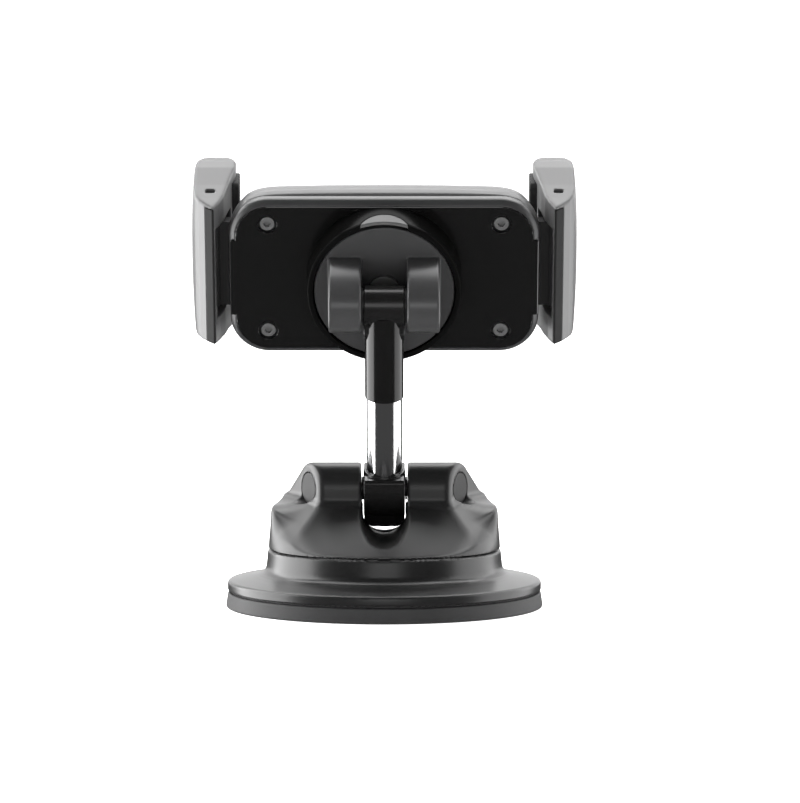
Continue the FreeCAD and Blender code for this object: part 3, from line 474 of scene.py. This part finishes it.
# ================================================================== swivel disc with its ears
def swivel(x, y, z):
    r = np.hypot(x, y)
    disc = solid(r - 17.6, span(z, -10.3, -7.9), 0.28)
    # round nose running tangent into two long side arcs
    nose = np.hypot(y, z) - 6.6
    side = np.hypot(np.abs(y) + 11.3, z + 8.6) - 20.8
    prof = np.maximum(np.where(z * 11.3 > np.abs(y) * 8.6, nose, side), -8.9 - z)
    ears = solid(prof, np.abs(np.abs(x) - 9.8) - 4.1, 0.7)
    d = smin(disc, ears, 0.45)
    hub = np.maximum(r - 7.0, span(z, -12.2, -9.0))
    d = np.minimum(d, hub)
    d = smax(d, -np.maximum(r - 4.3, -9.4 - z), 0.15)
    d = np.maximum(d, -(r - 2.5))
    return np.maximum(d, -np.maximum(np.hypot(y, z) - 2.0, np.abs(x) - 12.9))


# ================================================================== cradle
def housing(x, y, z):
    r = np.hypot(x, y)
    wall = poly(r, z, [(17.9, -7.3), (17.9, -10.35), (7.05, -10.35), (7.05, -12.2), (15.8, -12.2), (15.8, -15.88), (19.62, -15.88), (19.45, -8.2), (19.25, -7.5), (18.9, -7.3)])
    d = wall
    win = np.maximum(np.hypot(x, z + 5.1) - 6.42, 16.5 - y)
    d = smax(d, -win, 0.22)
    slot = np.maximum(np.maximum(np.abs(x) - 2.6, span(z, -14.6, -10.5)), span(y, 11.9, 18.9))
    return np.maximum(d, -slot)


def rounded_outline(x, y, hx, hy, r):
    return rect(x, y, hx, hy, r)


SCREWS = [(sx * 29.4, sy * 14.8) for sx in (-1, 1) for sy in (-1, 1)]


def cover(x, y, z):
    o = rect(x, y, 39.0, 21.2, 10.0)
    d = np.maximum(o, span(z, -19.4, -15.9))
    d = smax(d, (o + (z + 15.9) + 1.42) * 0.7071, 0.45)
    d = np.maximum(d, -np.maximum(rect(x, y, 37.45, 19.65, 8.4), -16.7 - z))
    d = np.maximum(d, -np.maximum(rect(x, y, 35.8, 18.0, 6.8), span(z, -25.0, -18.1)))
    for sx, sy in SCREWS:
        rr = np.hypot(x - sx, y - sy)
        d = np.minimum(d, np.maximum(rr - 3.4, span(z, -19.4, -17.1)))
        d = np.maximum(d, -np.maximum(rr - 2.5, -17.9 - z))
        d = np.maximum(d, -(rr - 1.2))
    d = np.maximum(d, -(np.hypot(x, y) - 15.8))
    step = np.maximum(np.maximum(np.abs(y) - 10.4, 37.0 - np.abs(x)), -16.7 - z)
    return smax(d, -step, 0.12)


def panel(x, y, z):
    o = np.minimum(rect(x, y, 37.38, 19.58, 8.33), rect(x, y, 38.75, 10.3, 0.25))
    d = solid(o, span(z, -16.68, -15.93), 0.12)
    for sx, sy in SCREWS:
        d = smax(d, -(np.hypot(x - sx, y - sy) - 2.45), 0.12)
    return np.maximum(d, -(np.hypot(x, y) - 15.8))


SIDE_U = np.array([(-31.2, 17.0), (-30.6, 18.6), (-29.0, 20.2), (-27.0, 21.2), (-24.6, 21.85), (-22.5, 22.05), (-20.8, 21.8), (-19.42, 20.6)])


def front_shell(x, y, z):
    # the outline swells towards the middle of the depth
    grow = np.interp(z, SIDE_U[:, 0], SIDE_U[:, 1]) - 22.1
    o = rect(x, y, 39.3, 22.1, 12.5) - np.minimum(grow, 0)
    crown = (np.abs(x) / 39.0) ** 2.4 * 1.5
    o = smax(o, np.abs(y) - (22.1 - crown) - np.minimum(grow, 0), 2.0)
    d = smax(o * 0.92, span(z, -31.2, -19.42), 0.5)
    inner = np.maximum(rounded_outline(x, y, 36.2, 18.0, 11.0), -26.2 - z)
    inner2 = np.maximum(rounded_outline(x, y, 32.5, 14.5, 9.0), -29.2 - z)
    d = np.maximum(d, -np.minimum(inner, inner2))
    for sx, sy in SCREWS:
        d = np.minimum(d, np.maximum(np.hypot(x - sx, y - sy) - 2.9, span(z, -29.3, -19.42)))
    for sx, sy in SCREWS:
        d = np.maximum(d, -np.maximum(np.hypot(x - sx, y - sy) - 1.12, -25.0 - z))
    sl = np.maximum(solid(np.abs(y) - 11.95, span(z, -27.55, -24.25), 0.0), 27.5 - np.abs(x))
    d = smax(d, -sl, 0.3)
    d = np.minimum(d, np.maximum(np.hypot(x, y) - 2.0, span(z, -29.4, -23.9)))
    return np.maximum(d, -np.maximum(rounded_outline(x, y, 32.1, 16.1, 9.0), z + 30.5))


def front_pad(x, y, z):
    d = solid(rounded_outline(x, y, 32.0, 16.0, 9.0), span(z, -32.4, -30.5), 0.5)
    rib = np.abs((y + 2.5) % 5.0 - 2.5) - 0.45
    cutd = np.maximum(np.maximum(np.maximum(rib, np.abs(x) - 26.0), np.abs(y) - 12.5), z + 31.9)
    return smax(d, -cutd, 0.3)


# ------------------------------------------------------------------ side arms (drawn for the right side, mirrored by s)
PLAN = [(43.0, -16.9), (45.1, -18.9), (46.75, -21.0), (47.9, -23.2), (48.75, -26.4), (49.15, -30.0), (49.25, -33.0), (48.9, -36.5), (47.9, -39.6), (46.3, -41.9), (44.2, -43.2), (42.0, -43.4), (39.8, -42.6), (38.3, -40.9), (37.7, -38.8), (37.9, -36.0), (38.6, -33.0), (39.6, -28.5), (40.5, -23.4), (41.5, -20.2)]
SIDE = [(-43.6, -20.6), (-41.8, -21.5), (-39.0, -21.9), (-35.5, -21.7), (-28.0, -20.3), (-22.0, -19.6), (-16.0, -19.5), (-16.0, 18.75), (-22.0, 19.45), (-28.0, 20.3), (-35.5, 21.7), (-39.0, 21.95), (-41.8, 21.6), (-43.6, 20.7)]


def arm_envelope(u, y, z):
    """Outer form of a side arm, without its recesses."""
    plan = poly(u, z, PLAN, 0.35)
    bow = (u - (49.32 - 0.0026 * y * y)) * 0.98
    side = poly(z, y, SIDE, 0.3)
    return smax(smax(plan, bow, 1.2), side, 0.9)


def arm_shell(s):
    def f(x, y, z):
        u = x * s
        ay = np.abs(y)
        d = arm_envelope(u, y, z)
        # room for the slide, and the seats of pad and strip
        room = np.maximum(np.maximum(ay - 12.3, u - np.where(z < -21.5, 43.48, 42.4)), span(z, -31.6, -10.0))
        d = smax(d, -room, 0.35)
        d = np.maximum(d, -np.maximum(np.maximum(ay - 18.2, u - 39.6), span(z, -41.0, -33.0)))
        # seam between shell and rear strip
        across = (u - 43.0) * 0.724 - (z + 16.9) * 0.69
        depth = -((u - 43.0) * 0.69 + (z + 16.9) * 0.724)
        strip = np.maximum(np.maximum(-across - 6.0, across - 2.95), depth - 0.62)
        d = np.maximum(d, -np.maximum(np.maximum(strip, y - 18.2), -0.25 - across))
        hole = rect(u - 43.9, z + 25.2, 1.2, 0.85, 0.5)
        d = smax(d, -np.maximum(hole, 17.6 - y), 0.15)
        for yy in (-6.0, 6.0):
            d = np.maximum(d, -np.maximum(np.hypot(y - yy, z + 28.9) - 0.9, u - 46.5))
        return d
    return f


def arm_strip(s):
    def f(x, y, z):
        u = x * s
        across = (u - 43.0) * 0.724 - (z + 16.9) * 0.69
        depth = -((u - 43.0) * 0.69 + (z + 16.9) * 0.724)
        d = smax(arm_envelope(u, y, z), np.maximum(depth - 0.58, -0.2 - across), 0.1)
        return smax(smax(d, across - 2.85, 0.12), y - 18.1, 0.15)
    return f


def grip_pad(s):
    def f(x, y, z):
        u = x * s
        d = solid(rect(y, z + 37.0, 18.1, 3.9, 1.2), span(u, 36.8, 39.55), 0.4)
        rib = np.abs((z + 34.6 + 0.8) % 1.6 - 0.8) - 0.22
        return smax(d, -np.maximum(np.maximum(rib, u - 37.15), span(z, -40.2, -34.2)), 0.15)
    return f


Q = 1.0
sculpt("base_flange_mesh", flange, (-39.8, -39.8, 4.2), (39.8, 39.8, 15.0), 0.42 * Q, WORLD, "base", "flange_satin", "base_plastic", "base_flange", flat=40)
sculpt("turret_mesh", turret, (-29.5, -29.5, 14.8), (29.5, 29.5, 36.8), 0.38 * Q, WORLD, "base", "base_satin", "base_plastic", "turret_housing", flat=55)
sculpt("hinge_cap_left_mesh", cap_shape(-1), (-25, -5.1, 24.9), (-13.4, 5.1, 35.1), 0.25 * Q, WORLD, "base", "cap_satin", "cap_plastic", "hinge_cap_left")
sculpt("hinge_cap_right_mesh", cap_shape(1), (13.4, -5.1, 24.9), (25, 5.1, 35.1), 0.25 * Q, WORLD, "base", "cap_satin", "cap_plastic", "hinge_cap_right")
sculpt("lower_knuckle_mesh", lower_knuckle, (-5.3, -7.4, -10.3), (5.3, 7.6, 14.0), 0.22 * Q, ARM, "arm_lower", "knuckle_satin", "knuckle_plastic", "lower_knuckle", flat=50)
tube = [(4.0, 4.6), (4.5, 4.6), (4.5, 37.2), (4.2, 37.5), (4.0, 37.5)]
lathe("chrome_tube_mesh", tube, ARM, "arm_lower", "tube_polished", "tube_chrome", "chrome_tube", seg=128)
sleeve = [(4.55, 25.5), (4.62, 25.4), (4.75, 25.4), (4.85, 25.52), (4.85, 48.0), (4.55, 48.0)]
lathe("arm_sleeve_mesh", sleeve, ARM, "arm_upper", "sleeve_black", "sleeve_metal", "arm_sleeve", seg=128)
sculpt("upper_knuckle_mesh", upper_knuckle, (-5.2, -5.2, 41.4), (5.2, 5.2, 55.8), 0.22 * Q, ARM, "arm_upper", "knuckle_satin", "knuckle_plastic", "upper_knuckle", flat=50)
sculpt("swivel_disc_mesh", swivel, (-17.7, -17.7, -12.3), (17.7, 17.7, 6.7), 0.28 * Q, HEADF, "swivel", "disc_satin", "disc_plastic", "swivel_disc", flat=50)
sculpt("swivel_housing_mesh", housing, (-19.7, -19.7, -16.0), (19.7, 19.7, -7.2), 0.26 * Q, HEADF, "cradle", "housing_satin", "housing_plastic", "swivel_housing", flat=45)
sculpt("rear_cover_mesh", cover, (-39.1, -21.3, -19.5), (39.1, 21.3, -15.8), 0.27 * Q, HEADF, "cradle", "cover_satin", "cover_plastic", "rear_cover", flat=40)
sculpt("rear_panel_mesh", panel, (-38.9, -19.7, -16.75), (38.9, 19.7, -15.85), 0.22 * Q, HEADF, "cradle", "panel_gloss", "panel_gloss", "rear_panel", flat=35)
sculpt("front_shell_mesh", front_shell, (-39.4, -22.2, -31.3), (39.4, 22.2, -19.3), 0.42 * Q, HEADF, "cradle", "shell_satin", "shell_plastic", "front_shell", flat=50)
sculpt("front_pad_mesh", front_pad, (-32.1, -16.1, -32.5), (32.1, 16.1, -30.4), 0.3 * Q, HEADF, "cradle", "pad_rubber_matt", "pad_rubber", "front_pad", flat=50)
for side, s in (("left", -1), ("right", 1)):
    lo, hi = (38.0, 49.4) if s > 0 else (-49.4, -38.0)
    sculpt(side + "_arm_shell_mesh", arm_shell(s), (lo, -22.2, -43.6), (hi, 22.2, -16.3), 0.34 * Q, HEADF, side + "_arm", "shell_satin", "shell_plastic", side + "_arm_shell", flat=50)
    lo, hi = (41.6, 46.4) if s > 0 else (-46.4, -41.6)
    sculpt(side + "_arm_strip_mesh", arm_strip(s), (lo, -19.7, -20.6), (hi, 18.2, -16.4), 0.18 * Q, HEADF, side + "_arm", "strip_dark", "strip_plastic", side + "_arm_strip", flat=50)
    lo, hi = (36.7, 39.6) if s > 0 else (-39.6, -36.7)
    sculpt(side + "_pad_mesh", grip_pad(s), (lo, -18.2, -41.0), (hi, 18.2, -33.0), 0.2 * Q, HEADF, side + "_arm", "pad_rubber_matt", "pad_rubber", side + "_pad", flat=50)

# ================================================================== stage
scene = bpy.context.scene


def emissive(name, strength, color=(1, 1, 1), diffuse=0.85):
    m = bpy.data.materials.new(name)
    m.use_nodes = True
    nt = m.node_tree
    p = nt.nodes["Principled BSDF"]
    p.inputs["Base Color"].default_value = (*[diffuse * c for c in color], 1)
    p.inputs["Roughness"].default_value = 0.9
    p.inputs["Specular IOR Level"].default_value = 0.1
    p.inputs["Emission Color"].default_value = (*color, 1)
    p.inputs["Emission Strength"].default_value = strength
    return m


def sheet(name, outline, strength):
    """Wide strip along X through the given (y, z) points."""
    verts, faces = [], []
    for yy, zz in outline:
        verts += [(-3.2, yy, zz), (3.2, yy, zz)]
    for i in range(len(outline) - 1):
        faces.append((2 * i, 2 * i + 1, 2 * i + 3, 2 * i + 2))
    me = bpy.data.meshes.new(name)
    me.from_pydata(verts, [], faces)
    for q in me.polygons:
        q.use_smooth = True
    ob = bpy.data.objects.new(name, me)
    scene.collection.objects.link(ob)
    ob.data.materials.append(emissive(name + "_pale", strength))
    return ob


floor = sheet("floor", [(-3.0, -0.00002), (1.6, -0.00002)], 0.95)
floor.visible_glossy = False
sheet("backdrop", [(1.6, -0.00002)] + [(1.6 + 0.6 * math.sin(math.radians(a)), 0.6 - 0.6 * math.cos(math.radians(a))) for a in range(10, 91, 10)] + [(2.2, 2.6)], 1.0)

world = bpy.data.worlds.new("studio")
scene.world = world
world.use_nodes = True
world.node_tree.nodes["Background"].inputs["Color"].default_value = (1.0, 1.0, 1.0, 1)
world.node_tree.nodes["Background"].inputs["Strength"].default_value = 0.06


def softbox(name, loc, target, sx, sy, level):
    """Area light whose face has the given brightness."""
    li = bpy.data.lights.new(name, "AREA")
    li.shape = "RECTANGLE"
    li.size, li.size_y = sx, sy
    li.energy = level * math.pi * sx * sy
    ob = bpy.data.objects.new(name, li)
    ob.location = loc
    ob.rotation_euler = (Vector(target) - Vector(loc)).to_track_quat("-Z", "Y").to_euler()
    scene.collection.objects.link(ob)
    return ob


softbox("top", (0.0, 0.35, 0.95), (0, 0, 0.08), 1.3, 0.9, 4.6)
softbox("left", (-0.80, 0.22, 0.12), (0, 0.12, 0.08), 1.0, 1.3, 6.0)
softbox("right", (0.80, 0.22, 0.12), (0, 0.12, 0.08), 1.0, 1.3, 2.8)
softbox("front", (0.0, -1.7, 0.20), (0, 0, 0.08), 1.0, 0.6, 1.7)

PITCH = math.radians(4.4)
DIST = 1.289
target = Vector((0.00395, 0.0, 0.0520))
cam_data = bpy.data.cameras.new("camera")
cam_data.lens = 228.5
cam_data.sensor_width = 36.0
cam_data.clip_end = 20
cam = bpy.data.objects.new("camera", cam_data)
cam.location = target + Vector((0, -math.cos(PITCH), math.sin(PITCH))) * DIST
cam.rotation_euler = (target - cam.location).to_track_quat("-Z", "Y").to_euler()
scene.collection.objects.link(cam)
scene.camera = cam
scene.view_settings.view_transform = "Standard"
scene.view_settings.look = "None"
scene.view_settings.exposure = 0.0
